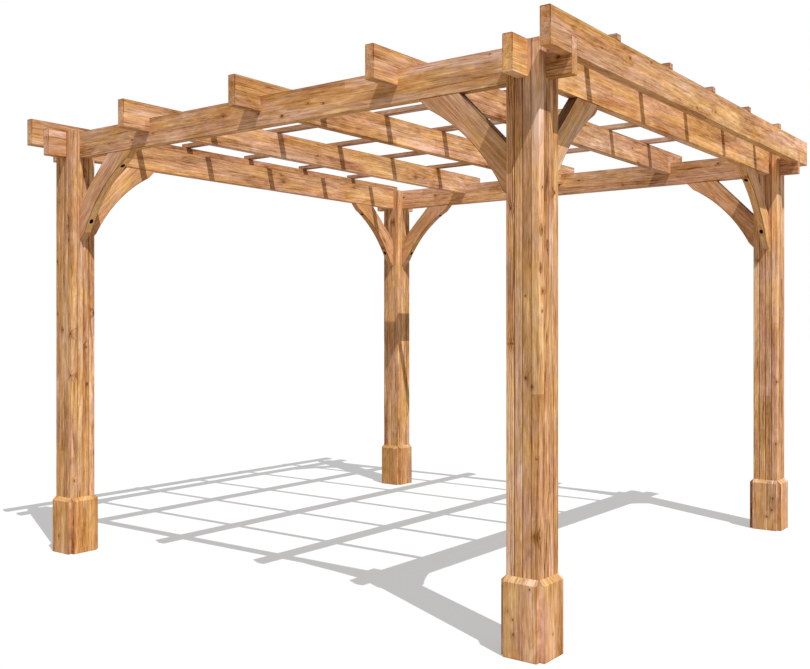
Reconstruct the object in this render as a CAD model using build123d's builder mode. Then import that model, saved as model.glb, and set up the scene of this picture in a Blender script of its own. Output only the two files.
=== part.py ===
from build123d import *
import os
from math import sqrt

# Free-standing timber pergola: four posts built up from glued staves, a ring of
# four beams seated in cross slots in the post heads, rafters notched down over
# the front and back beams, battens laid across the rafters, two arched knee
# braces a post and a skirting of four bevelled boards round each foot.
# Millimetres, Z up, origin on the ground at the middle of the plan.

# Plan
post_spacing_x = 3024.0  # left post to right post, centre to centre
post_spacing_y = 2966.0  # front post to back post, centre to centre
overhang = 110.0  # outer post face to the sawn ends of beams and rafters

# Posts
post_side = 150.0
stave_count = 4  # staves that show on each face
stave_groove = 5.0  # side of the square that scores each stave joint
post_arris = 3.0  # chamfer on the four long corners
head_height = 2237.0  # ground to the seat of the beams

# Beams, rafters and braces are all cut from one board section
board_thick = 45.0
board_depth = 147.0
board_arris = 2.0

# Rafters
rafter_count = 5
rafter_notch = 73.5  # how far each rafter drops over a beam

# Battens
batten_count = 5
batten_width = 40.0
batten_thick = 27.0
batten_arris = 1.5
batten_pitch = 548.0

# Knee braces, measured from the corner between post face and beam underside
brace_reach = 466.0  # corner to the far end of each mitre
arch_rise = 40.0  # depth of the arched cut in the lower edge
arch_heel = 66.0  # straight part left at each end of the lower edge
bolt_bore = 24.0  # counterbore for the head of each fixing bolt
bolt_offset = 364.0  # corner to the axis of each bolt
bolt_seat = 42.0  # wood left under each bolt head

# Skirting boards round the feet
skirt_thick = 22.5
skirt_height = 293.0  # to the foot of the bevel
skirt_bevel = 20.0  # height of the bevel, up to the post face
skirt_arris = 2.0

# Positions that follow from the sizes above
half_x = post_spacing_x / 2
half_y = post_spacing_y / 2
beam_top = head_height + board_depth
rafter_foot = beam_top - rafter_notch
rafter_top = rafter_foot + board_depth
end_offset = post_side / 2 + overhang
beam_length_x = post_spacing_x + 2 * end_offset
beam_length_y = post_spacing_y + 2 * end_offset
halving = board_depth / 2
stave = post_side / stave_count
rafter_pitch = (beam_length_x - board_thick) / (rafter_count - 1)
corners = {
    "front_left": (-1, -1),
    "front_right": (1, -1),
    "back_right": (1, 1),
    "back_left": (-1, 1),
}

os.makedirs("parts", exist_ok=True)


def save(piece, label):
    piece.part.label = label
    export_step(piece.part, "parts/" + label + ".step")


# Posts: the head is cut by two crossing slots as wide as a board, which leaves
# four horns that hold the crossed beams on every side.
stave_joints = [i * stave - post_side / 2 for i in range(1, stave_count)]
for corner, (sx, sy) in corners.items():
    px, py = sx * half_x, sy * half_y
    with BuildPart() as post:
        with BuildSketch(Plane.XY.offset(0)) as section:
            with Locations((px, py)):
                Rectangle(post_side, post_side)
            chamfer(section.vertices(), length=post_arris)
            for joint in stave_joints:
                for side in (-post_side / 2, post_side / 2):
                    with Locations((px + joint, py + side), (px + side, py + joint)):
                        Rectangle(stave_groove, stave_groove, rotation=45, mode=Mode.SUBTRACT)
        extrude(amount=beam_top)
        with BuildSketch(Plane.XY.offset(head_height)):
            with Locations((px, py)):
                Rectangle(2 * post_side, board_thick)
                Rectangle(board_thick, 2 * post_side)
        extrude(amount=board_depth, mode=Mode.SUBTRACT)
    save(post, "post_" + corner)

# Skirting boards: each is as wide as the post face that it covers, so that the
# corners stay open. Its top is bevelled back to the post, and its two upright
# outer edges, which are the shorter ones, are eased.
for corner, (sx, sy) in corners.items():
    px, py = sx * half_x, sy * half_y
    for name, directions in (("faces", ((0, -1), (0, 1))), ("sides", ((-1, 0), (1, 0)))):
        with BuildPart() as skirting:
            for dx, dy in directions:
                foot = Plane(
                    origin=(px + dx * post_side / 2, py + dy * post_side / 2, 0),
                    x_dir=(dx, dy, 0),
                    z_dir=(dy, -dx, 0),
                )
                with BuildSketch(foot):
                    with BuildLine():
                        Polyline(
                            (0, 0),
                            (skirt_thick, 0),
                            (skirt_thick, skirt_height),
                            (0, skirt_height + skirt_bevel),
                            close=True,
                        )
                    make_face()
                extrude(amount=post_side / 2, both=True)
            outer_edges = skirting.edges().filter_by(Axis.Z).group_by(SortBy.LENGTH)[0]
            chamfer(outer_edges, length=skirt_arris)
        save(skirting, "skirting_" + corner + "_" + name)


def beam_crossings(length_axis):
    """Centres of the halvings along a beam, one over each post."""
    half = half_x if length_axis == "x" else half_y
    return (-half, half)


# Front and back beams: their halvings are open at the top.
for label, py in (("beam_front", -half_y), ("beam_back", half_y)):
    with BuildPart() as beam:
        with BuildSketch(Plane.YZ.offset(-beam_length_x / 2)) as section:
            with Locations((py, head_height + board_depth / 2)):
                Rectangle(board_thick, board_depth)
            chamfer(section.vertices(), length=board_arris)
        extrude(amount=beam_length_x)
        with BuildSketch(Plane.XY.offset(beam_top - halving)):
            with Locations(*[(px, py) for px in beam_crossings("x")]):
                Rectangle(board_thick, 2 * board_thick)
        extrude(amount=halving, mode=Mode.SUBTRACT)
    save(beam, label)

# Left and right beams: their halvings are open at the bottom and drop over the
# front and back beams.
for label, px in (("beam_left", -half_x), ("beam_right", half_x)):
    with BuildPart() as beam:
        with BuildSketch(Plane.XZ.offset(-beam_length_y / 2)) as section:
            with Locations((px, head_height + board_depth / 2)):
                Rectangle(board_thick, board_depth)
            chamfer(section.vertices(), length=board_arris)
        extrude(amount=beam_length_y)
        with BuildSketch(Plane.XY.offset(head_height)):
            with Locations(*[(px, py) for py in beam_crossings("y")]):
                Rectangle(2 * board_thick, board_thick)
        extrude(amount=board_depth - halving, mode=Mode.SUBTRACT)
    save(beam, label)

# Rafters: evenly spaced, the outer two flush with the beam ends, each one
# notched from below to sit down over the front and back beams.
for i in range(rafter_count):
    px = board_thick / 2 - beam_length_x / 2 + i * rafter_pitch
    with BuildPart() as rafter:
        with BuildSketch(Plane.XZ.offset(-beam_length_y / 2)) as section:
            with Locations((px, rafter_foot + board_depth / 2)):
                Rectangle(board_thick, board_depth)
            chamfer(section.vertices(), length=board_arris)
        extrude(amount=beam_length_y)
        with BuildSketch(Plane.XY.offset(rafter_foot)):
            with Locations((px, -half_y), (px, half_y)):
                Rectangle(2 * board_thick, board_thick)
        extrude(amount=rafter_notch, mode=Mode.SUBTRACT)
    save(rafter, "rafter_" + str(i + 1))

# Battens: laid on the rafters from outer face to outer face.
for i in range(batten_count):
    py = (i - (batten_count - 1) / 2) * batten_pitch
    with BuildPart() as batten:
        with BuildSketch(Plane.YZ.offset(-beam_length_x / 2)) as section:
            with Locations((py, rafter_top + batten_thick / 2)):
                Rectangle(batten_width, batten_thick)
            chamfer(section.vertices(), length=batten_arris)
        extrude(amount=beam_length_x)
    save(batten, "batten_" + str(i + 1))

# Knee braces: a board set at forty-five degrees with both ends mitred to post
# and beam, and a shallow arch cut from the lower edge between two heels. All its
# edges are eased but those of the mitres, which run along X and Z or Y and Z.
brace_inner = brace_reach - board_depth * sqrt(2)
heel_step = arch_heel / sqrt(2)
crown = brace_reach / 2 - arch_rise / sqrt(2)
for corner, (sx, sy) in corners.items():
    px, py = sx * half_x, sy * half_y
    for name, dx, dy in (("across", -sx, 0), ("along", 0, -sy)):
        root = Vector(px + dx * post_side / 2, py + dy * post_side / 2, head_height)
        away = Vector(dx, dy, 0)
        down = Vector(0, 0, -1)
        with BuildPart() as brace:
            with BuildSketch(Plane(origin=root, x_dir=away, z_dir=(dy, -dx, 0))):
                with BuildLine():
                    Polyline(
                        (heel_step, heel_step - brace_reach),
                        (0, -brace_reach),
                        (0, -brace_inner),
                        (brace_inner, 0),
                        (brace_reach, 0),
                        (brace_reach - heel_step, -heel_step),
                    )
                    ThreePointArc(
                        (brace_reach - heel_step, -heel_step),
                        (crown, -crown),
                        (heel_step, heel_step - brace_reach),
                    )
                make_face()
            extrude(amount=board_thick / 2, both=True)
            long_edges = brace.edges()
            for axis in (Axis.X, Axis.Y, Axis.Z):
                long_edges = long_edges.filter_by(axis, reverse=True)
            chamfer(long_edges, length=board_arris)
            post_bolt = root + away * bolt_seat + down * bolt_offset
            with BuildSketch(Plane(origin=post_bolt, z_dir=away)):
                Circle(bolt_bore / 2)
            extrude(amount=brace_reach, mode=Mode.SUBTRACT)
            beam_bolt = root + away * bolt_offset + down * bolt_seat
            with BuildSketch(Plane(origin=beam_bolt, z_dir=down)):
                Circle(bolt_bore / 2)
            extrude(amount=brace_reach, mode=Mode.SUBTRACT)
        save(brace, "brace_" + corner + "_" + name)
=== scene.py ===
import random
from collections import namedtuple
from math import atan2, cos, pi, radians, sqrt

import bmesh
import bpy
from mathutils import Matrix, Vector


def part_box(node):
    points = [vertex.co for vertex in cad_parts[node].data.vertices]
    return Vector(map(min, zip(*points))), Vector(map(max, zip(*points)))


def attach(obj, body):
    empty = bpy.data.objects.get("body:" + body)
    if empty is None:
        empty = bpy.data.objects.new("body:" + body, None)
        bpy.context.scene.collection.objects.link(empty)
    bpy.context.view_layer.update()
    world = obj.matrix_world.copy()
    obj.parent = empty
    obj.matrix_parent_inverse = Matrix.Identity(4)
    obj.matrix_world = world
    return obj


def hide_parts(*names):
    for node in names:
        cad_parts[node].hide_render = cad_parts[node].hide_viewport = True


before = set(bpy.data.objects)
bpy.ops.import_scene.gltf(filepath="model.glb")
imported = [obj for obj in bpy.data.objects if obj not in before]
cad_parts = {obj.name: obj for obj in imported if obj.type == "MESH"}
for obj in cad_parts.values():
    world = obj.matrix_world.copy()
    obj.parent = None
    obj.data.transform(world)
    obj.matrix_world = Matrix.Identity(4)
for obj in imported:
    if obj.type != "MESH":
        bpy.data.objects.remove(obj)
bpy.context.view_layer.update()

# A timber pergola of planed softwood. The frame gives every timber its shape and
# place. This script gives each one its own cut of wood, adds the screws, and sets
# the camera, the light and the floor. Metres, Z up.

MM = 0.001
X, Y, Z = Vector((1, 0, 0)), Vector((0, 1, 0)), Vector((0, 0, 1))
CORNERS = {
    "front_left": (-1, -1),
    "front_right": (1, -1),
    "back_right": (1, 1),
    "back_left": (-1, 1),
}
RAFTERS = 5
BATTENS = 5

# Sizes read from the frame
post_low, post_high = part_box("post_front_right")
post_side = post_high.x - post_low.x
half_x = (post_low.x + post_high.x) / 2
half_y = -(post_low.y + post_high.y) / 2
beam_low, beam_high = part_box("beam_front")
board_depth = beam_high.z - beam_low.z
skirt_low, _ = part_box("skirting_front_right_faces")
skirt_thick = post_low.y - skirt_low.y

# Sizes of the staves, and of the strips that a board is joined from
STAVES = 4  # across each face of a post
STAVE = post_side / STAVES
ROW = board_depth / 3
JOINT_SPACING = 650 * MM  # mean length from one end joint of a strip or stave to the next

# Sizes of the braces, as the solids have them
BOLT_OFFSET = 364 * MM  # corner of post and beam to the axis of each bore
BOLT_SEAT = 42 * MM  # post face or beam to the seat of each washer
BORE_FULL, BORE_END = 12.2 * MM, 12.8 * MM  # from its axis to just past its wall
ARCH_RISE = 40 * MM  # depth of the arched cut in the lower edge
ARCH_HEEL = 66 * MM  # straight part left at each end of that edge


def bolt_places(corner, inward):
    """The seat and the way of the two bores in the brace that leaves a post inward."""
    sx, sy = CORNERS[corner]
    root = Vector((sx * half_x, sy * half_y, beam_low.z)) + inward * post_side / 2
    return (
        (root + inward * BOLT_SEAT - Z * BOLT_OFFSET, inward),
        (root + inward * BOLT_OFFSET - Z * BOLT_SEAT, -Z),
    )


# Shader arithmetic

def pair(operation):
    """The forward and the reflected form of an operator."""

    def forward(self, other):
        return self.finish.maths(operation, self, other)

    def reflected(self, other):
        return self.finish.maths(operation, other, self)

    return forward, reflected


class Value:
    """A socket of a finish. Arithmetic on it adds Math nodes."""

    def __init__(self, finish, socket):
        self.finish = finish
        self.socket = socket

    __add__, __radd__ = pair("ADD")
    __sub__, __rsub__ = pair("SUBTRACT")
    __mul__, __rmul__ = pair("MULTIPLY")
    __truediv__, __rtruediv__ = pair("DIVIDE")

    def floor(self):
        return self.finish.maths("FLOOR", self)

    def part(self):
        """What is left over a whole number."""
        return self.finish.maths("FRACT", self)

    def size(self):
        """The value without its sign."""
        return self.finish.maths("ABSOLUTE", self)

    def sign(self):
        return self.finish.maths("SIGN", self)

    def root(self):
        return self.finish.maths("SQRT", self)

    def most(self, other):
        return self.finish.maths("MAXIMUM", self, other)

    def least(self, other):
        return self.finish.maths("MINIMUM", self, other)

    def step(self, low, high):
        """0 up to low and 1 from high on, with a smooth rise between."""
        sockets = {"Value": self, "From Min": low, "From Max": high}
        return self.finish.node("MapRange", {"interpolation_type": "SMOOTHSTEP"}, sockets)["Result"]


class Finish:
    """A node material that is put together in Python."""

    def __init__(self, tree):
        self.tree = tree
        self.tree.nodes.clear()

    def node(self, kind, settings=None, sockets=None):
        """Adds a node, sets it, fills its sockets and returns its outputs by name."""
        node = self.tree.nodes.new("ShaderNode" + kind)
        for name, value in (settings or {}).items():
            if name == "stops":
                self.set_stops(node.color_ramp, value)
            else:
                setattr(node, name, value)
        entries = {socket.identifier: socket for socket in node.inputs}
        for name, value in (sockets or {}).items():
            if isinstance(value, Value):
                self.tree.links.new(value.socket, entries[name])
            else:
                entries[name].default_value = value
        return {socket.identifier: Value(self, socket) for socket in node.outputs}

    def set_stops(self, ramp, stops):
        """Puts (place, colour) pairs on a colour ramp."""
        while len(ramp.elements) < len(stops):
            ramp.elements.new(1.0)
        for element, (place, colour) in zip(ramp.elements, stops):
            element.position = place
            element.color = (*colour, 1)

    def maths(self, operation, first, second=0.0):
        values = {"Value": first, "Value_001": second}
        return self.node("Math", {"operation": operation}, values)["Value"]

    def vectors(self, operation, first, second=(0, 0, 0), third=(0, 0, 0)):
        """The outputs of a Vector Math node."""
        sockets = {"Vector": first, "Vector_001": second, "Vector_002": third}
        return self.node("VectorMath", {"operation": operation}, sockets)

    def join(self, x, y, z):
        return self.node("CombineXYZ", None, {"X": x, "Y": y, "Z": z})["Vector"]

    def split(self, vector):
        parts = self.node("SeparateXYZ", None, {"Vector": vector})
        return parts["X"], parts["Y"], parts["Z"]

    def noise(self, place, kind):
        """One of the noises of the wood, at a place in the log."""
        sockets = {
            "Vector": self.vectors("MULTIPLY_ADD", place, kind.scale, kind.shift)["Vector"],
            "Scale": 1.0,
            "Detail": kind.detail,
            "Roughness": kind.rough,
            "Distortion": kind.swirl,
        }
        return self.node("TexNoise", None, sockets)

    def chance(self, vector):
        """Three random numbers from 0 to 1 that are the same wherever the vector is."""
        return self.split(self.node("TexWhiteNoise", None, {"Vector": vector})["Color"])

    def mix(self, factor, first, second, blend="MIX"):
        sockets = {"Factor_Float": factor, "A_Color": first, "B_Color": second}
        settings = {"data_type": "RGBA", "blend_type": blend}
        return self.node("Mix", settings, sockets)["Result_Color"]


def linear(red, green, blue):
    """A colour as a paint chart gives it, 0 to 255, as the shader wants it."""
    levels = (red / 255, green / 255, blue / 255)
    return tuple(c / 12.92 if c <= 0.04045 else ((c + 0.055) / 1.055) ** 2.4 for c in levels)


def paint(red, green, blue):
    return (*linear(red, green, blue), 1)


# Colours of the treated softwood, from the darkest summer wood to the palest sapwood
WOOD_TONES = (
    (0.00, linear(122, 75, 38)),
    (0.16, linear(150, 100, 60)),
    (0.32, linear(176, 127, 88)),
    (0.46, linear(193, 145, 108)),
    (0.58, linear(205, 158, 122)),
    (0.72, linear(219, 174, 141)),
    (0.86, linear(234, 191, 162)),
    (1.00, linear(248, 211, 186)),
)
GOLD_STAIN = paint(255, 245, 194)
PALE_STAIN = paint(247, 246, 254)
RED_STAIN = paint(255, 246, 250)
LEAN_STAIN = paint(250, 253, 251)
KNOT_HEART = paint(84, 44, 22)
KNOT_RIM = paint(140, 84, 44)
JOINT_DIRT = paint(112, 70, 38)
RESIN_STREAK = paint(130, 78, 42)
END_GRAIN = paint(255, 251, 246)
EDGE_DIRT = paint(170, 140, 114)
BEVEL_BLEACH = paint(236, 246, 255)
# painted shade: darkens the upper edge of each brace, in the corner under the beam
PAINTED_SHADE_UNDER_BEAM = paint(150, 152, 160)
BATTEN_GREY = paint(240, 246, 252)
# painted shade inside the bores of the braces
PAINTED_BORE_SHADE = paint(84, 62, 44)


# Knots that show in the photograph, in millimetres: the side of the timber that each
# branch comes out of, its place across and along from the middle, and its radius. A
# branch runs along the thickness (U) or the width (V), from one side or right through.
THROUGH, PLUS_U, MINUS_U, MINUS_V = "through", "plus u", "minus u", "minus v"
KNOTS = {
    "beam_front": (
        (THROUGH, 9, -242, 5), (THROUGH, -10, 10, 4), (THROUGH, -41, 165, 8),
        (THROUGH, -16, 430, 4), (THROUGH, -26, -962, 5), (THROUGH, -3, 1640, 10),
    ),
    "beam_back": ((THROUGH, 0, 13, 6), (THROUGH, 36, 1188, 6), (THROUGH, 18, -1422, 6)),
    "beam_left": ((THROUGH, -41, 920, 6), (THROUGH, -37, 140, 5)),
    "rafter_5": (
        (THROUGH, -25, -988, 8), (THROUGH, -53, -768, 4), (THROUGH, 46, -230, 6),
        (THROUGH, 23, -28, 4),
    ),
    "post_front_right": (
        (MINUS_V, 15, -111, 6), (MINUS_V, 43, -144, 6), (MINUS_V, -54, 546, 5),
        (MINUS_V, 13, 205, 3), (PLUS_U, -56, 456, 6), (PLUS_U, -52, 146, 4),
        (PLUS_U, -48, 222, 5), (PLUS_U, -51, 621, 4), (PLUS_U, 44, 610, 6),
    ),
    "post_front_left": (
        (MINUS_V, 66, -189, 7), (MINUS_V, 66, 46, 6), (MINUS_V, 50, 576, 6),
        (MINUS_V, 42, 655, 8), (MINUS_V, 47, 701, 6), (MINUS_V, -60, 158, 5),
        (MINUS_V, -63, 459, 6), (PLUS_U, 25, -239, 5), (PLUS_U, 19, -30, 5),
        (PLUS_U, -57, -784, 5), (PLUS_U, 67, 166, 6),
    ),
    "post_back_right": ((MINUS_V, 67, -649, 5), (MINUS_V, 70, -259, 5)),
    "skirting_front_right_faces": (
        (MINUS_U, 28, -61, 4), (MINUS_U, 30, -6, 3), (MINUS_U, -45, 123, 4),
    ),
    "skirting_front_right_sides": ((PLUS_U, -10, -60, 4),),
    "skirting_front_left_faces": ((MINUS_U, 13, -62, 5),),
    "skirting_back_right_faces": ((MINUS_U, -47, -27, 6), (MINUS_U, -18, -72, 5)),
}


# How much paler than the rest a timber is, and how much more golden
SHADES = {
    "rafter_1": (-0.13, -0.3),
    "rafter_3": (-0.06, 0.0),
    "rafter_4": (-0.08, -0.1),
    "rafter_5": (0.02, 0.0),
    "beam_left": (0.0, -0.1),
    "beam_right": (0.06, 0.2),
    "beam_front": (0.03, 0.0),
    "beam_back": (0.04, -0.1),
    "post_back_right": (0.04, 0.0),
    "post_back_left": (0.04, 0.1),
    "post_front_left": (0.0, 0.06),
    "brace_front_left_along": (0.06, 0.0),
    "brace_back_left_along": (0.0, 0.1),
    "brace_back_right_along": (0.10, 0.2),
    "brace_front_right_along": (-0.04, 0.0),
    "brace_back_right_across": (0.02, -0.3),
    "skirting_front_left_faces": (0.02, 0.4),
    "skirting_front_left_sides": (-0.27, 0.4),
    "skirting_front_right_faces": (0.09, 0.1),
    "skirting_front_right_sides": (-0.04, 0.3),
    "skirting_back_left_faces": (-0.05, 0.4),
    "skirting_back_left_sides": (-0.08, 0.0),
    "skirting_back_right_faces": (0.01, 0.0),
    "batten_1": (-0.05, -0.4),
    "batten_2": (-0.10, -0.4),
    "batten_3": (-0.07, -0.5),
    "batten_4": (-0.04, -0.4),
    "batten_5": (0.0, -0.5),
}


# The same for the narrow faces: the arched edge of a brace, the underside of a board
# and the upright edges of a skirting board
# These are partly the tone of the wood and partly painted light and shade: paler and more golden where
# bounce light is painted, darker where shade is painted.
NARROW_TONE_AND_PAINTED_LIGHT = {
    "brace_front_left_across": (0.36, 0.6),
    "brace_back_right_along": (0.06, 0.8),
    "beam_front": (-0.12, 0.8),
    "rafter_3": (-0.14, 0.4),
    "rafter_5": (0.0, 0.5),
    "skirting_front_right_sides": (0.19, -0.35),
    "skirting_front_left_sides": (0.03, -0.4),
    "skirting_back_right_sides": (-0.20, -0.2),
    "skirting_front_right_faces": (-0.17, -0.2),
    "skirting_front_left_faces": (-0.08, -0.5),
}


class Timber:
    """How one timber is cut: its middle, the way of its grain and of its thickness.

    Higher numbers give larger knots, darker year rings, and more contrast in the fine
    lines and in the broad figure.
    """

    def __init__(self, node, along, across, seed, knots=0.5, rings=0.18, fine=1.0, figure=0.75):
        low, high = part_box(node)
        self.node = node
        self.centre = (low + high) / 2
        self.along = along.normalized()
        self.across = across
        self.size = high - low
        self.half_length = self.size.dot(Vector(map(abs, self.along))) / 2
        self.half_thick = self.size.dot(Vector(map(abs, across))) / 2
        self.seed = seed
        self.tone, self.gold = SHADES.get(node, (0.0, 0.0))
        self.knots = knots
        self.rings = rings
        self.fine = fine
        self.figure = figure
        self.up = round(self.along.cross(across).z)  # which way across the width is up
        self.bores = ()
        self.corner_side = 0  # in a brace, which way across the width its corner lies


def in_timber(finish, timber):
    """Places across the thickness, across the width and along the grain."""
    wide = timber.along.cross(timber.across)
    turn = Matrix((timber.across, wide, timber.along)).transposed().to_euler()
    sockets = {
        "Vector": finish.node("TexCoord")["Object"],
        "Location": timber.centre,
        "Rotation": turn,
    }
    placed = finish.node("Mapping", {"vector_type": "TEXTURE"}, sockets)["Vector"]
    return finish.split(placed)


# The lengths that a strip or a stave is joined from
LENGTHS_OFF = 50  # most lengths by which its joints are out of step with the others
LENGTH_TONES = 0.14  # how much the lengths differ
PALE_FROM = 0.76  # share of the lengths that have no pale sapwood
PALE_TONE = 1.3
PALE_BALANCE = 0.04  # keeps the mean tone in place


def joined_lengths(finish, g, strip):
    """How much paler a strip of wood is in each of the lengths that it is joined from."""
    start = finish.chance(strip)[0]
    sockets = {"W": g / JOINT_SPACING + start * LENGTHS_OFF, "Scale": 1.0}
    joined = finish.node("TexVoronoi", {"voronoi_dimensions": "1D"}, sockets)
    first, second, _ = finish.split(joined["Color"])
    return (first - 0.5) * LENGTH_TONES + (second - PALE_FROM).most(0.0) * PALE_TONE - PALE_BALANCE


# Where a cut lies in its log
HEART_NEAR, HEART_FAR = 30 * MM, 80 * MM  # across the thickness, from the cut to the heart
HEART_ASIDE = 30 * MM  # across the width, at most
LOG_STOCK = 40  # metres of log that the cuts are taken from
CUT_TONES = 0.18  # how much the staves and the skirting boards differ
ROW_STARTS = (0.3, 0.7)
SKIRTING_SHARE = 0.2  # share of its thickness over which the figure of a skirting changes

# What keeps the draws for rows, staves, skirting boards and year rings apart
ROW_DRAW, STAVE_DRAW, SKIRTING_DRAW, RING_DRAW = 0.31, 1.37, 2.11, 0.7
ROW_PLANE, SKIRTING_PLANE = 0.7, 0.5


# A cut is (u, v, g, heart_u, heart_v, tone): the place across the thickness, across
# the width and along the grain, where the heart of the log lies, and how pale it is.

def cut_as_board(finish, timber, u, v, g):
    """One board, with strips in it that are paler or darker from joint to joint."""
    draw = random.Random(timber.seed)
    heart_u = draw.choice((-1, 1)) * draw.uniform(HEART_NEAR, HEART_FAR)
    heart_v = draw.uniform(-HEART_ASIDE, HEART_ASIDE)
    row = (v / ROW + draw.uniform(*ROW_STARTS)).floor()
    shade = joined_lengths(finish, g, finish.join(row, timber.seed * ROW_DRAW, ROW_PLANE))
    return u, v, g + draw.uniform(0, LOG_STOCK), heart_u, heart_v, shade


def cut_by_chance(finish, place, u, v, g):
    """A cut that differs wherever the place does."""
    first, second, third = finish.chance(place)
    heart_u = (first - 0.5).sign() * (HEART_NEAR + (HEART_FAR - HEART_NEAR) * second)
    heart_v = (third - 0.5) * (2 * HEART_ASIDE)
    return u, v, g + LOG_STOCK * third, heart_u, heart_v, (second - 0.5) * CUT_TONES


def cut_as_staves(finish, timber, u, v, g):
    """A post glued up from square staves, each out of a log of its own."""
    last = STAVES - 1.0
    cell_u = (u / STAVE + STAVES / 2).floor().most(0.0).least(last)
    cell_v = (v / STAVE + STAVES / 2).floor().most(0.0).least(last)
    place = finish.join(cell_u, cell_v, timber.seed * STAVE_DRAW)
    in_stave_u = u - (cell_u - last / 2) * STAVE
    in_stave_v = v - (cell_v - last / 2) * STAVE
    *cut, shade = cut_by_chance(finish, place, in_stave_u, in_stave_v, g)
    return (*cut, shade + joined_lengths(finish, g, place))


def cut_as_skirting(finish, timber, u, v, g):
    """Two boards, one on each side of the post."""
    place = finish.join(u.sign(), timber.seed * SKIRTING_DRAW, SKIRTING_PLANE)
    in_board = (u.size() - (post_side + skirt_thick) / 2) * SKIRTING_SHARE
    return cut_by_chance(finish, place, in_board, v, g)


def in_bore(finish, point, way):
    """1 within a bore that runs through a point, where shade is painted dark on the wood."""
    place = finish.node("TexCoord")["Object"]
    away = finish.vectors("SUBTRACT", place, point)["Vector"]
    cross = finish.vectors("CROSS_PRODUCT", away, way)["Vector"]
    return 1 - finish.vectors("LENGTH", cross)["Value"].step(BORE_FULL, BORE_END)


def off_brace_edge(timber, height, g0):
    """How far a place in a brace is from its arched edge or its straight one, and from its mitres."""
    reach = timber.size.z
    half_chord = reach / sqrt(2) - ARCH_HEEL
    arch_radius = (half_chord**2 + ARCH_RISE**2) / (2 * ARCH_RISE)
    from_middle = height + arch_radius - ARCH_RISE
    off_arch = (from_middle * from_middle + g0 * g0).root() - arch_radius
    off_mitre = (reach / sqrt(2) - height - g0.size()) / sqrt(2)
    return off_arch.least(board_depth - height), off_mitre


def half_width(timber):
    return sqrt(timber.size.length_squared / 4 - timber.half_length**2 - timber.half_thick**2)


# How far in the tone and the painted light and shade of a narrow face are full, and where they end
ARCH_FULL, SIDE_FULL, NARROW_END = 1.0 * MM, 1.4 * MM, 2.4 * MM
UPPER_LOW, UPPER_HIGH = 0.8, 0.9  # shares of its depth where the upper part of a brace starts


def narrow_face(timber, v0, g0):
    """1 on the arched edge of a brace, the underside of a board or the sides of a skirting."""
    if timber.corner_side:
        height = v0 * timber.corner_side
        off_edge, _ = off_brace_edge(timber, height, g0)
        upper = height.step(UPPER_LOW * board_depth, UPPER_HIGH * board_depth)
        return (1 - off_edge.step(ARCH_FULL, NARROW_END)) * (1 - upper)
    outward = v0 * -timber.up if timber.up else v0.size()
    edge = half_width(timber)
    return outward.step(edge - NARROW_END, edge - SIDE_FULL)


DIRT_FULL, DIRT_END = 1.5 * MM, 4.5 * MM  # how far in from an edge
DIRT_BELOW, DIRT_ABOVE = 0.3, 0.9  # how dirty the lower and the upper edges are
DIRT_TURN = 5 * MM  # half the height in which the one gives way to the other


def edge_dirt(timber, u0, v0, g0):
    """How dirty the eased edges are, where the wood is handled."""
    off_u = timber.half_thick - u0.size()
    if timber.corner_side:
        off_v, off_g = off_brace_edge(timber, v0 * timber.corner_side, g0)
    else:
        off_v = half_width(timber) - v0.size()
        off_g = timber.half_length - g0.size()
    nearest = off_u.least(off_v)
    second = nearest.most(off_u.most(off_v).least(off_g))
    near = 1 - second.step(DIRT_FULL, DIRT_END)
    if timber.up:
        above = (v0 * timber.up).step(-DIRT_TURN, DIRT_TURN)
        return near * (DIRT_BELOW + (DIRT_ABOVE - DIRT_BELOW) * above)
    return near * ((DIRT_BELOW + DIRT_ABOVE) / 2)


# Parts of a knot: where each starts to fade and where it ends, in radii of the branch
GROWN_HEART, PLACED_HEART = (0.45, 1.0), (0.35, 0.95)
GROWN_RIM, PLACED_RIM = (0.9, 1.9), (0.9, 1.8)
GROWN_REACH, PLACED_REACH = (0.8, 6.0), (0.8, 5.0)
GROWN_TAIL = (0.8, 2.4)

# Knots are drawn out along the grain, where the square of a distance counts for less
GROWN_DRAWN, PLACED_DRAWN, TAIL_DRAWN = 0.55, 0.5, 0.035
GROWN_RAGGED, TAIL_RAGGED = 6 * MM, 8 * MM
PLACED_RAGGED = 0.9  # in radii of the branch
SWELLING = 1.6  # how far the rings swell round a branch, in its radii
SIDE_BLEND = 1 * MM  # in which a knot of one side of a timber gives way inside it
BRANCH_TURN = 1.6  # tangent of the angle about the heart from branch to branch
BRANCH_SPACING = 750 * MM  # length of log from branch to branch
NO_KNOT = 0.6  # share of the branches that are too small to show
KNOT_SPREAD, LEAST_KNOT = 26 * MM, 0.4 * MM
HEART_LEAST, HEART_MORE = 0.45, 0.5  # how dark each heart is, and how much darker it may be


def fading(away, radius, part):
    """1 in a part of a knot and 0 beyond it."""
    start, stop = part
    return 1 - away.step(radius * start, radius * stop)


def placed_knots(timber, u0, v0, g0, ragged):
    """The heart, the rim and the wider reach of the knots that show, and their swelling."""
    heart, rim, around, swelling = 0.0, 0.0, 0.0, 0.0
    for side, across, along, radius in KNOTS.get(timber.node, ()):
        size = radius * MM
        sideways = (u0 if side is MINUS_V else v0) - across * MM
        lengthways = g0 - along * MM
        distance = (sideways * sideways + lengthways * lengthways * PLACED_DRAWN).root()
        away = distance + ragged * size * PLACED_RAGGED
        here = 1.0
        if side is MINUS_V:
            here = 1 - v0.step(-STAVE - SIDE_BLEND, -STAVE)
        elif side is PLUS_U:
            here = u0.step(STAVE, STAVE + SIDE_BLEND)
        elif side is MINUS_U:
            here = 1 - u0.step(-SIDE_BLEND, SIDE_BLEND)
        reach = fading(away, size, PLACED_REACH) * here
        heart = fading(away, size, PLACED_HEART) * here + heart
        rim = fading(away, size, PLACED_RIM) * here + rim
        around = reach + around
        swelling = reach * size * SWELLING + swelling
    return heart, rim, around, swelling


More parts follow.
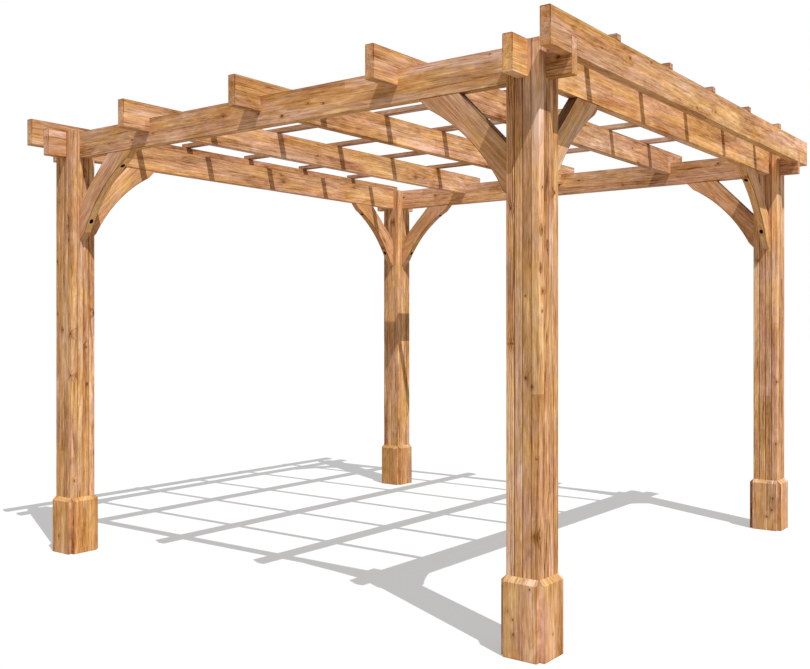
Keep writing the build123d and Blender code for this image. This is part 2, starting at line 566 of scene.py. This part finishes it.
def grown_knots(finish, timber, off_u, off_v, g, ragged):
    """The same for branches that leave the heart by chance, and the tail of each in the grain."""
    turn = off_v / off_u
    cell = finish.join(turn / BRANCH_TURN, g / BRANCH_SPACING, 0.0)
    branch = finish.node("TexVoronoi", {"voronoi_dimensions": "2D"}, {"Vector": cell, "Scale": 1.0})
    branch_turn, branch_place, _ = finish.split(branch["Position"])
    branch_size, branch_dark, _ = finish.split(branch["Color"])
    sideways = (turn - branch_turn * BRANCH_TURN) * off_u.size()
    lengthways = g - branch_place * BRANCH_SPACING
    distance = (sideways * sideways + lengthways * lengthways * GROWN_DRAWN).root()
    away = distance + ragged * GROWN_RAGGED
    radius = (branch_size - NO_KNOT).most(0.0) * KNOT_SPREAD * timber.knots + LEAST_KNOT
    heart = fading(away, radius, GROWN_HEART) * (HEART_LEAST + branch_dark * HEART_MORE)
    rim = fading(away, radius, GROWN_RIM)
    around = fading(away, radius, GROWN_REACH)
    drawn_out = (sideways * sideways + lengthways * lengthways * TAIL_DRAWN).root()
    tail = fading(drawn_out + ragged * TAIL_RAGGED, radius, GROWN_TAIL)
    return heart, rim, around, around * radius * SWELLING, tail


# Noises of the wood. Their scale is in cycles to a metre across the thickness, across
# the width and along the grain.
Noise = namedtuple("Noise", "scale detail swirl rough shift", defaults=(2.0, 0.0, 0.5, (0, 0, 0)))
WANDER = Noise((2.5, 2.5, 1.1))
RAGGED = Noise((130, 130, 80))
SWAY = Noise((22, 22, 4), detail=3.0)
SWIRL = Noise((13, 13, 3.4), detail=4.0, swirl=1.2, rough=0.6, shift=(3.3, 0, 0))
DRIFT = Noise((7, 9, 1.2), detail=3.0, swirl=0.6, shift=(0, 7.7, 0))
MOTTLE = Noise((34, 34, 14), detail=4.0, swirl=1.2, rough=0.64)
STREAK = Noise((46, 46, 1.9), detail=4.0, rough=0.6)
LINES = Noise((125, 125, 5), detail=4.0, rough=0.65)
FIBRE = Noise((420, 420, 18))
WAVE = Noise((34, 34, 1.7), detail=1.0, swirl=0.5, shift=(0, 0, 5))
RESIN_SCALE = (24, 24, 2.3)

# The log, which wanders about its heart and narrows, and its year rings
WANDER_THICK, WANDER_WIDE = 45 * MM, 60 * MM
TAPER = 12 * MM  # how much it narrows in each metre
SWAY_REACH = 14 * MM
UNEVEN_SCALE = 40  # cycles to a metre of the change in the width of the rings
UNEVEN_RINGS = 1.8  # how many rings that change comes to
SUMMER_STARTS, SUMMER_FULL = 0.30, 0.86  # shares of a year's growth
WINTER_STARTS, WINTER_FULL = 0.90, 1.0


def summer_wood(finish, timber, ring, place, from_heart):
    """How dark the summer wood is in each year, strong in some and faint in others."""
    radius = from_heart + (finish.noise(place, SWAY)["Fac"] - 0.5) * SWAY_REACH
    sockets = {"W": radius * UNEVEN_SCALE, "Scale": 1.0}
    uneven = finish.node("TexNoise", {"noise_dimensions": "1D"}, sockets)["Fac"]
    rings = radius / ring + uneven * UNEVEN_RINGS
    age = rings.part()
    summer = age.step(SUMMER_STARTS, SUMMER_FULL) * (1 - age.step(WINTER_STARTS, WINTER_FULL))
    year = finish.chance(finish.join(rings.floor(), 0.0, timber.seed * RING_DRAW))[0]
    return summer * year


# How much paler each feature makes the wood, or darker where it is negative
PLAIN_TONE = 0.65
PALER = {
    "drift": 1.1,
    "swirl": 1.0,
    "bloom": 0.08,
    "mottle": 0.5,
    "line": 0.95,
    "fibre": 0.9,
    "streak": 0.45,
    "vein": -0.14,
    "summer": -1.0,
    "grown_knot": -0.10,
    "placed_knot": -0.12,
    "tail": -0.18,
}
BLOOM_STARTS, BLOOM_FULL = 0.56, 0.66  # on the swirls
VEIN_FULL, VEIN_END = 0.006, 0.030  # on the wave
END_FADES = 0.65  # how much fainter the summer wood is on a sawn end

# The stains: where their patches start and are full, and how much their lines count
GOLD_PATCHES, GOLD_LINES = (0.36, 0.64), 0.7
RED_PATCHES, RED_LINES = (0.38, 0.62), 0.9
STAIN_MOTTLE = 0.3

# Marks on the wood
RESIN_FULL, RESIN_END = 0.05, 0.13
RESIN_SMALL, RESIN_LARGE = 0.62, 0.8
RESIN_LEVEL, RIM_LEVEL, HEART_LEVEL, JOINT_LEVEL = 0.6, 0.55, 0.92, 0.75
JOINT_FULL, JOINT_END = 0.8 * MM, 2.6 * MM  # from a joint between staves
END_FULL, END_STOP = 0.3 * MM, 0.9 * MM  # in from a sawn end
BEVEL_FULL, BEVEL_STOP = 19.5 * MM, 21 * MM  # down from the top of a skirting
# painted shade on the upper edge of a brace, where it is full and where it stops
UPPER_FULL, UPPER_STOP = 0.4 * MM, 2.2 * MM  # in from the upper edge of a brace

# The surface of the wood
LINE_RELIEF, FIBRE_RELIEF, SUMMER_SINKS, HEART_SINKS = 0.8, 0.6, 0.5, 0.5
RELIEF_STRENGTH, RELIEF_DEPTH = 0.35, 1.2 * MM
WOOD_ROUGHNESS, PALE_SMOOTHER = 0.78, 0.14
WOOD_SPECULAR = 0.14


def patches(swirl, drift, mottle, line, edge, lines):
    """How far a stain goes, in patches and in fine lines."""
    patch = (swirl * 0.5 + drift * 0.5 + mottle * STAIN_MOTTLE).step(*edge)
    return patch + (line - 0.5) * lines


def stained(finish, colour, reach, bare, full):
    """A colour under a stain that runs from one tint to another."""
    tint = finish.mix(reach.most(0.0).least(1.0), bare, full)
    return finish.mix(1.0, colour, tint, "MULTIPLY")


def in_joint(u0, v0):
    """1 in the joints between the staves of a post, which are a stave apart."""
    joint_u = u0.size().least((u0.size() - STAVE).size())
    joint_v = v0.size().least((v0.size() - STAVE).size())
    return 1 - joint_u.least(joint_v).step(JOINT_FULL, JOINT_END)


def weathered_with_painted_shade(finish, timber, cut, colour, end, u0, v0, g0):
    """The colour with its greyer ends and battens, bleached bevels and dark edges, and with painted
    shade in the bores and on the upper edge of a brace.
    """
    marks = [(end, END_GRAIN)]
    if cut is cut_as_skirting:
        bevel = g0.step(timber.half_length - BEVEL_STOP, timber.half_length - BEVEL_FULL)
        marks.append((bevel, BEVEL_BLEACH))
    # Painted shade on the upper edge of a brace, in the corner under the beam and the post
    if timber.corner_side:
        height = v0 * timber.corner_side
        painted_shade_upper_edge = height.step(board_depth - UPPER_STOP, board_depth - UPPER_FULL)
        marks.append((painted_shade_upper_edge, PAINTED_SHADE_UNDER_BEAM))
    if timber.node.startswith("batten"):
        marks.append((1.0, BATTEN_GREY))
    # Painted shade inside each bore
    for axis in timber.bores:
        marks.append((in_bore(finish, *axis), PAINTED_BORE_SHADE))
    if cut is not cut_as_staves:
        marks.append((edge_dirt(timber, u0, v0, g0), EDGE_DIRT))
    for mask, tint in marks:
        colour = finish.mix(mask, colour, tint, "MULTIPLY")
    return colour


def wood(timber, cut=cut_as_board, ring=12 * MM):
    """The finish of one timber, worked out inside the log that it was sawn from."""
    material = bpy.data.materials.new("wood_" + timber.node)
    material.use_nodes = True
    finish = Finish(material.node_tree)
    u0, v0, g0 = in_timber(finish, timber)
    u, v, g, heart_u, heart_v, shade = cut(finish, timber, u0, v0, g0)
    place = finish.join(u, v, g)
    end = g0.size().step(timber.half_length - END_STOP, timber.half_length - END_FULL)

    # The log wanders about its heart, branches leave knots, and the rings swell at them
    wander_u, wander_v, _ = finish.split(finish.noise(place, WANDER)["Color"])
    off_u = u - heart_u + (wander_u - 0.5) * WANDER_THICK
    off_v = v - heart_v + (wander_v - 0.5) * WANDER_WIDE
    ragged = finish.noise(place, RAGGED)["Fac"] - 0.5
    heart, rim, around, swelling, tail = grown_knots(finish, timber, off_u, off_v, g, ragged)
    placed_heart, placed_rim, placed_around, placed_swelling = placed_knots(timber, u0, v0, g0, ragged)
    from_heart = (off_u * off_u + off_v * off_v).root() + g * TAPER - swelling - placed_swelling
    summer = summer_wood(finish, timber, ring, place, from_heart)

    # Drifts, swirls, streaks, veins, lines and fibres of colour along the grain
    drift_tone, drift_gold, drift_red = finish.split(finish.noise(place, DRIFT)["Color"])
    swirl_tone, swirl_gold, swirl_red = finish.split(finish.noise(place, SWIRL)["Color"])
    mottle = finish.noise(place, MOTTLE)["Fac"] - 0.5
    lines = finish.noise(place, LINES)
    line = lines["Fac"] - 0.5
    _, line_gold, line_red = finish.split(lines["Color"])
    fibre = finish.noise(place, FIBRE)["Fac"] - 0.5
    wave = finish.noise(place, WAVE)["Fac"] - 0.5
    features = {
        "drift": (drift_tone - 0.5) * timber.figure,
        "swirl": (swirl_tone - 0.5) * timber.figure,
        "bloom": swirl_tone.step(BLOOM_STARTS, BLOOM_FULL),
        "mottle": mottle,
        "line": line * timber.fine,
        "fibre": fibre * timber.fine,
        "streak": finish.noise(place, STREAK)["Fac"] - 0.5,
        "vein": 1 - wave.size().step(VEIN_FULL, VEIN_END),
        "summer": summer * timber.rings * (1 - END_FADES * end),
        "grown_knot": around,
        "placed_knot": placed_around,
        "tail": tail,
    }
    tone = PLAIN_TONE + timber.tone + shade
    for name, feature in features.items():
        tone = tone + feature * PALER[name]
    gold = patches(swirl_gold, drift_gold, mottle, line_gold, GOLD_PATCHES, GOLD_LINES) + timber.gold
    red = patches(swirl_red, drift_red, mottle, line_red, RED_PATCHES, RED_LINES)
    # Tone of the wood, with painted light and shade, on the narrow faces
    if timber.node in NARROW_TONE_AND_PAINTED_LIGHT:
        tone_and_painted_light, gold_and_painted_light = NARROW_TONE_AND_PAINTED_LIGHT[timber.node]
        narrow = narrow_face(timber, v0, g0)
        tone = tone + narrow * tone_and_painted_light
        gold = gold + narrow * gold_and_painted_light
    colour = finish.node("ValToRGB", {"stops": WOOD_TONES}, {"Fac": tone})["Color"]
    colour = stained(finish, colour, gold, PALE_STAIN, GOLD_STAIN)
    colour = stained(finish, colour, red, LEAN_STAIN, RED_STAIN)

    # Resin streaks, which are thin dark lenses, and knots
    lens_place = finish.vectors("MULTIPLY", place, RESIN_SCALE)["Vector"]
    resin = finish.node("TexVoronoi", None, {"Vector": lens_place, "Scale": 1.0})
    resin_size, _, _ = finish.split(resin["Color"])
    lens = 1 - resin["Distance"].step(RESIN_FULL, RESIN_END)
    lens = lens * resin_size.step(RESIN_SMALL, RESIN_LARGE)
    colour = finish.mix(lens * RESIN_LEVEL, colour, RESIN_STREAK)
    colour = finish.mix(rim.most(placed_rim) * RIM_LEVEL, colour, KNOT_RIM)
    heart = heart.most(placed_heart).least(1.0)
    colour = finish.mix(heart * HEART_LEVEL, colour, KNOT_HEART)
    colour = weathered_with_painted_shade(finish, timber, cut, colour, end, u0, v0, g0)
    if cut is cut_as_staves:
        colour = finish.mix(in_joint(u0, v0) * JOINT_LEVEL, colour, JOINT_DIRT)
    relief = line * LINE_RELIEF + fibre * FIBRE_RELIEF - summer * SUMMER_SINKS - heart * HEART_SINKS
    finish_wood(finish, colour, tone, relief)
    return material


def finish_wood(finish, colour, tone, relief):
    sockets = {"Strength": RELIEF_STRENGTH, "Distance": RELIEF_DEPTH, "Height": relief}
    bump = finish.node("Bump", None, sockets)
    sockets = {
        "Base Color": colour,
        "Roughness": WOOD_ROUGHNESS - tone * PALE_SMOOTHER,
        "Specular IOR Level": WOOD_SPECULAR,
        "Normal": bump["Normal"],
    }
    shader = finish.node("BsdfPrincipled", None, sockets)["BSDF"]
    finish.node("OutputMaterial", None, {"Surface": shader})


def dress(timber, *how):
    material = wood(timber, *how)
    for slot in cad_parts[timber.node].material_slots:
        slot.material = material


POST_RING = 9 * MM
POST_WOOD = {"knots": 0.4, "rings": 0.42, "fine": 1.1}
BRACE_WOOD = {"rings": 0.10, "fine": 1.0, "figure": 0.35}
RAFTER_SEEDS = (61, 62, 63, 64, 85)


def dress_timbers():
    for i, (corner, (sx, sy)) in enumerate(CORNERS.items()):
        post = Timber("post_" + corner, Z, X, seed=11 + i, **POST_WOOD)
        dress(post, cut_as_staves, POST_RING)
        for j, (name, out) in enumerate((("faces", Y), ("sides", X))):
            skirting = Timber("skirting_%s_%s" % (corner, name), Z, out, seed=21 + 2 * i + j)
            dress(skirting, cut_as_skirting)
        up_across, up_along = Vector((-sx, 0, 1)), Vector((0, -sy, 1))
        across = Timber("brace_%s_across" % corner, up_across, Y, seed=31 + i, **BRACE_WOOD)
        along = Timber("brace_%s_along" % corner, up_along, X, seed=41 + i, **BRACE_WOOD)
        for brace, inward, corner_side in ((across, X * -sx, -sx), (along, Y * -sy, sy)):
            brace.bores = bolt_places(corner, inward)
            brace.corner_side = corner_side
            dress(brace)
    for i, name in enumerate(("front", "back")):
        dress(Timber("beam_" + name, X, Y, seed=51 + i))
    for i, name in enumerate(("left", "right")):
        dress(Timber("beam_" + name, Y, X, seed=53 + i))
    for i, seed in enumerate(RAFTER_SEEDS):
        dress(Timber("rafter_%d" % (i + 1), Y, X, seed))
    for i in range(BATTENS):
        dress(Timber("batten_%d" % (i + 1), X, Z, seed=71 + i))


dress_timbers()


# Fixings. An outline runs from point to point, each a radius and a height in millimetres.
WASHER_OUTLINE = ((5.5, 0), (10.2, 0), (10.5, 0.3), (10.5, 1.7), (10.2, 2), (5.5, 2))
WASHER_THICK = 2 * MM
HEX_ACROSS = 17 * MM
HEX_DEEP = 7 * MM
HEX_ARRIS = 1.1 * MM
WAFER_OUTLINE = (
    (0, 0), (7, 0), (7.2, 0.5), (6.4, 1.5), (4.8, 2.2), (3.0, 2.5), (2.7, 2.3), (2.3, 0.9), (0, 0.8)
)
SUNK_OUTLINE = (
    (0, -4.3), (2.2, -4.2), (4.2, -0.8), (4.2, -0.4), (2.7, -0.4), (2.4, -0.6), (2.1, -2.2), (0, -2.3)
)
WAFER_FLOOR, SUNK_FLOOR = 0.85 * MM, -2.25 * MM  # just above the floor of each recess
RECESS_RADIUS = 3.1 * MM
LOBES, LOBE_DEPTH = 6, 0.18
BATTEN_ARRIS = 1.5 * MM
SINK_RADIUS, SINK_FOOT, SINK_DEEP = 4.6 * MM, 2.3 * MM, 4.6 * MM
SINK_PATCH = 7 * MM  # half side of the patch of batten round each screw
FIXING_TURN = 2  # most that a fixing is turned by, in radians
RAFTER_STRAY = 4 * MM  # how far a screw strays from the middle of the beam
BATTEN_STRAY_ALONG, BATTEN_STRAY_ACROSS = 6 * MM, 3 * MM


def turned(outline, steps=24):
    """An outline spun about Z and closed."""
    shape = bmesh.new()
    points = [shape.verts.new((radius * MM, 0, height * MM)) for radius, height in outline]
    first = 0 if outline[0][0] else 1
    edges = [shape.edges.new((points[i - 1], points[i])) for i in range(first, len(points))]
    bmesh.ops.spin(shape, geom=points + edges, axis=Z, angle=2 * pi, steps=steps, use_merge=True)
    bmesh.ops.remove_doubles(shape, verts=shape.verts, dist=0.01 * MM)
    bmesh.ops.recalc_face_normals(shape, faces=shape.faces)
    return shape


def star_recess(shape, floor):
    """Presses the wall of the recess in a screw head, above its floor, into lobes."""
    for vert in shape.verts:
        if vert.co.z > floor and 0 < vert.co.xy.length < RECESS_RADIUS:
            vert.co.xy *= 1 + LOBE_DEPTH * cos(LOBES * atan2(vert.co.y, vert.co.x))
    return shape


def hexagon():
    """The head of a coach screw, on top of its washer."""
    shape = bmesh.new()
    radius = HEX_ACROSS / sqrt(3)
    bmesh.ops.create_cone(
        shape, cap_ends=True, segments=6, radius1=radius, radius2=radius, depth=HEX_DEEP
    )
    rim = [edge for edge in shape.edges if all(vert.co.z > 0 for vert in edge.verts)]
    bmesh.ops.bevel(
        shape, geom=rim, offset=HEX_ARRIS, segments=2, profile=0.5, affect="EDGES", material=-1
    )
    bmesh.ops.translate(shape, vec=Z * (WASHER_THICK + HEX_DEEP / 2), verts=shape.verts)
    return shape


def stand(shape, seat, way, turn):
    """Turns a shape that stands on the origin to face a way, and moves it to its seat."""
    facing = way.to_track_quat("Z", "Y").to_matrix().to_4x4()
    place = Matrix.Translation(seat) @ facing @ Matrix.Rotation(turn, 4, "Z")
    bmesh.ops.transform(shape, matrix=place, verts=shape.verts)
    return shape


def add_piece(name, shapes, material):
    """One object out of several shapes, which are used up."""
    joined = bmesh.new()
    for shape in shapes:
        mesh = bpy.data.meshes.new(name)
        shape.to_mesh(mesh)
        shape.free()
        joined.from_mesh(mesh)
        bpy.data.meshes.remove(mesh)
    mesh = bpy.data.meshes.new(name)
    joined.to_mesh(mesh)
    joined.free()
    mesh.materials.append(material)
    piece = bpy.data.objects.new(name, mesh)
    bpy.context.scene.collection.objects.link(piece)
    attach(piece, "root")
    return piece


CLOUD_SCALE, SPECK_SCALE = 260.0, 1100.0  # cycles to a metre
CLOUD_STARTS, CLOUD_FULL = 0.35, 0.7
SPECK_STARTS, SPECK_FULL, SPECK_LEVEL = 0.62, 0.72, 0.5
CLOUD_ROUGHNESS = 0.25  # how much the clouds change the roughness


def metal(name, pale, dark, shine, roughness):
    """Coated steel with a cloudy finish and darker specks."""
    material = bpy.data.materials.new(name)
    material.use_nodes = True
    finish = Finish(material.node_tree)
    place = finish.node("TexCoord")["Object"]
    clouds = {"Vector": place, "Scale": CLOUD_SCALE, "Detail": 3.0}
    specks = {"Vector": place, "Scale": SPECK_SCALE, "Detail": 2.0}
    cloud = finish.node("TexNoise", None, clouds)["Fac"]
    speck = finish.node("TexNoise", None, specks)["Fac"]
    colour = finish.mix(cloud.step(CLOUD_STARTS, CLOUD_FULL), paint(*pale), paint(*dark))
    colour = finish.mix(speck.step(SPECK_STARTS, SPECK_FULL) * SPECK_LEVEL, colour, paint(*dark))
    bump = finish.node("Bump", None, {"Strength": 0.3, "Distance": 0.2 * MM, "Height": speck})
    sockets = {
        "Base Color": colour,
        "Metallic": shine,
        "Roughness": roughness + (cloud - 0.5) * CLOUD_ROUGHNESS,
        "Normal": bump["Normal"],
    }
    shader = finish.node("BsdfPrincipled", None, sockets)["BSDF"]
    finish.node("OutputMaterial", None, {"Surface": shader})
    return material


def fix_braces(blackened):
    """Two coach screws in each brace, one into the post and one up into the beam."""
    draw = random.Random(5)
    for corner, (sx, sy) in CORNERS.items():
        for name, inward in (("across", X * -sx), ("along", Y * -sy)):
            shapes = []
            for seat, way in bolt_places(corner, inward):
                turn = draw.uniform(0, FIXING_TURN)
                shapes.append(stand(turned(WASHER_OUTLINE), seat, way, turn))
                shapes.append(stand(hexagon(), seat, way, turn))
            add_piece("coach_screws_%s_%s" % (corner, name), shapes, blackened)


def fix_rafters(coated):
    """One broad-headed screw down through each rafter into each beam."""
    draw = random.Random(6)
    for i in range(RAFTERS):
        low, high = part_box("rafter_%d" % (i + 1))
        shapes = []
        for y in (-half_y, half_y):
            stray = draw.uniform(-RAFTER_STRAY, RAFTER_STRAY)
            seat = Vector(((low.x + high.x) / 2, y + stray, high.z))
            head = star_recess(turned(WAFER_OUTLINE), WAFER_FLOOR)
            shapes.append(stand(head, seat, Z, draw.uniform(0, FIXING_TURN)))
        add_piece("rafter_screws_%d" % (i + 1), shapes, coated)


def nearest_face(shape, centre):
    return min(shape.faces, key=lambda face: (face.calc_center_median() - centre).length)


def countersink(shape, centre):
    """Cuts a round tapered seat for a screw into the top of a batten."""
    for normal in (X, Y):
        for side in (-SINK_PATCH, SINK_PATCH):
            near = [
                face for face in shape.faces
                if normal is X or abs(face.calc_center_median().x - centre.x) < SINK_PATCH
            ]
            rims = {edge for face in near for edge in face.edges}
            corners = {vert for face in near for vert in face.verts}
            bmesh.ops.bisect_plane(
                shape, geom=near + list(rims) + list(corners),
                plane_co=centre + normal * side, plane_no=normal
            )
    bmesh.ops.subdivide_edges(shape, edges=nearest_face(shape, centre).edges, cuts=3)
    patch = nearest_face(shape, centre)
    bmesh.ops.inset_individual(shape, faces=[patch], thickness=1 * MM)
    for vert in patch.verts:
        vert.co = centre + (vert.co - centre).normalized() * SINK_RADIUS
    bmesh.ops.inset_individual(shape, faces=[patch], thickness=0.5 * MM)
    for vert in patch.verts:
        vert.co = centre + (vert.co - centre).normalized() * SINK_FOOT - Z * SINK_DEEP


def fix_battens(coated):
    """Battens with eased edges, each screwed down to every rafter."""
    draw = random.Random(7)
    for i in range(BATTENS):
        node = "batten_%d" % (i + 1)
        low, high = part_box(node)
        shape = bmesh.new()
        bmesh.ops.create_cube(shape, size=1)
        bmesh.ops.scale(shape, vec=high - low, verts=shape.verts)
        bmesh.ops.translate(shape, vec=(low + high) / 2, verts=shape.verts)
        bmesh.ops.bevel(
            shape, geom=shape.edges, offset=BATTEN_ARRIS, segments=2, profile=0.5,
            affect="EDGES", material=-1
        )
        heads = []
        for j in range(RAFTERS):
            rafter_low, rafter_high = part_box("rafter_%d" % (j + 1))
            x = (rafter_low.x + rafter_high.x) / 2
            x += draw.uniform(-BATTEN_STRAY_ALONG, BATTEN_STRAY_ALONG)
            y = (low.y + high.y) / 2 + draw.uniform(-BATTEN_STRAY_ACROSS, BATTEN_STRAY_ACROSS)
            centre = Vector((x, y, high.z))
            countersink(shape, centre)
            head = star_recess(turned(SUNK_OUTLINE), SUNK_FLOOR)
            heads.append(stand(head, centre, Z, draw.uniform(0, FIXING_TURN)))
        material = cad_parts[node].material_slots[0].material
        batten = add_piece(node + "_drilled", [shape], material)
        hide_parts(node)
        add_piece("batten_screws_%d" % (i + 1), heads, coated)


blackened_steel = metal("blackened_steel", (66, 62, 58), (38, 34, 31), shine=0.8, roughness=0.5)
coated_steel = metal("coated_steel", (150, 118, 78), (112, 84, 54), shine=0.75, roughness=0.42)
fix_braces(blackened_steel)
fix_rafters(coated_steel)
fix_battens(coated_steel)


# Camera, solved from the photograph. Pixels are those of the photograph.
PHOTO_WIDTH, PHOTO_HEIGHT = 810, 669
FOCAL_PIXELS = 973.24
CENTRE_X, HORIZON_Y = 437.26, 326.65
SENSOR_WIDTH = 36.0  # millimetres
CAMERA_PLACE = (3.44723, -4.77998, 1.27908)
CAMERA_HEADING = 35.9889  # degrees to the left of straight back


def place_camera():
    data = bpy.data.cameras.new("camera")
    data.sensor_width = SENSOR_WIDTH
    data.lens = SENSOR_WIDTH * FOCAL_PIXELS / PHOTO_WIDTH
    data.shift_x = (PHOTO_WIDTH / 2 - CENTRE_X) / PHOTO_WIDTH
    data.shift_y = (HORIZON_Y - PHOTO_HEIGHT / 2) / PHOTO_WIDTH
    camera = bpy.data.objects.new("camera", data)
    camera.location = CAMERA_PLACE
    camera.rotation_euler = (radians(90), 0, radians(CAMERA_HEADING))
    bpy.context.scene.collection.objects.link(camera)
    bpy.context.scene.camera = camera


# Light
SUN_WAY = Vector((-0.5409, 0.2511, -1))  # the way the light travels
SUN_LEVEL = 1.41  # what it gives a white face that it meets square on
SUN_TINT = (0.975, 1.0, 0.97)
SUN_BREADTH = 0.2  # degrees
SKY_LEVEL = 0.45
FLOOR_BOUNCE = (0.35, 0.325, 0.295, 1)  # share of the light that the floor returns to the timber
SHADE_ON_FLOOR = 0.35
FLOOR_CONTRAST = 0.42
FLOOR_RADIUS = 90.0


def seen_directly(finish):
    """1 for rays that show the background, straight, mirrored or through glass."""
    rays = finish.node("LightPath")
    seen = rays["Is Camera Ray"] + rays["Is Glossy Ray"] + rays["Is Transmission Ray"]
    return seen.least(1.0)


def light_scene():
    sun = bpy.data.lights.new("sun", "SUN")
    sun.energy = SUN_LEVEL * pi
    sun.color = SUN_TINT
    sun.angle = radians(SUN_BREADTH)
    lamp = bpy.data.objects.new("sun", sun)
    lamp.rotation_euler = SUN_WAY.to_track_quat("-Z", "Y").to_euler()
    bpy.context.scene.collection.objects.link(lamp)
    world = bpy.data.worlds.new("sky")
    bpy.context.scene.world = world
    world.use_nodes = True
    finish = Finish(world.node_tree)
    level = SKY_LEVEL + seen_directly(finish) * (1 - SKY_LEVEL)
    sky = finish.node("Background", None, {"Color": (1, 1, 1, 1), "Strength": level})
    finish.node("OutputWorld", None, {"Surface": sky["Background"]})


def lay_floor():
    """A floor that looks white where the sun meets it and keeps the object's shadow."""
    mesh = bpy.data.meshes.new("floor")
    build = bmesh.new()
    bmesh.ops.create_circle(build, cap_ends=True, segments=96, radius=FLOOR_RADIUS)
    build.to_mesh(mesh)
    build.free()
    floor = bpy.data.objects.new("floor", mesh)
    bpy.context.scene.collection.objects.link(floor)
    material = bpy.data.materials.new("floor")
    material.use_nodes = True
    finish = Finish(material.node_tree)
    glow = finish.node("Emission", None, {"Color": (1, 1, 1, 1), "Strength": SHADE_ON_FLOOR})
    seen = finish.node("BsdfDiffuse", None, {"Color": (FLOOR_CONTRAST,) * 3 + (1,)})
    both = finish.node("AddShader", None, {"Shader": glow["Emission"], "Shader_001": seen["BSDF"]})
    bounce = finish.node("BsdfDiffuse", None, {"Color": FLOOR_BOUNCE})
    sockets = {"Fac": seen_directly(finish), "Shader": bounce["BSDF"], "Shader_001": both["Shader"]}
    surface = finish.node("MixShader", None, sockets)["Shader"]
    finish.node("OutputMaterial", None, {"Surface": surface})
    mesh.materials.append(material)


place_camera()
light_scene()
lay_floor()
bpy.context.scene.view_settings.view_transform = "Standard"
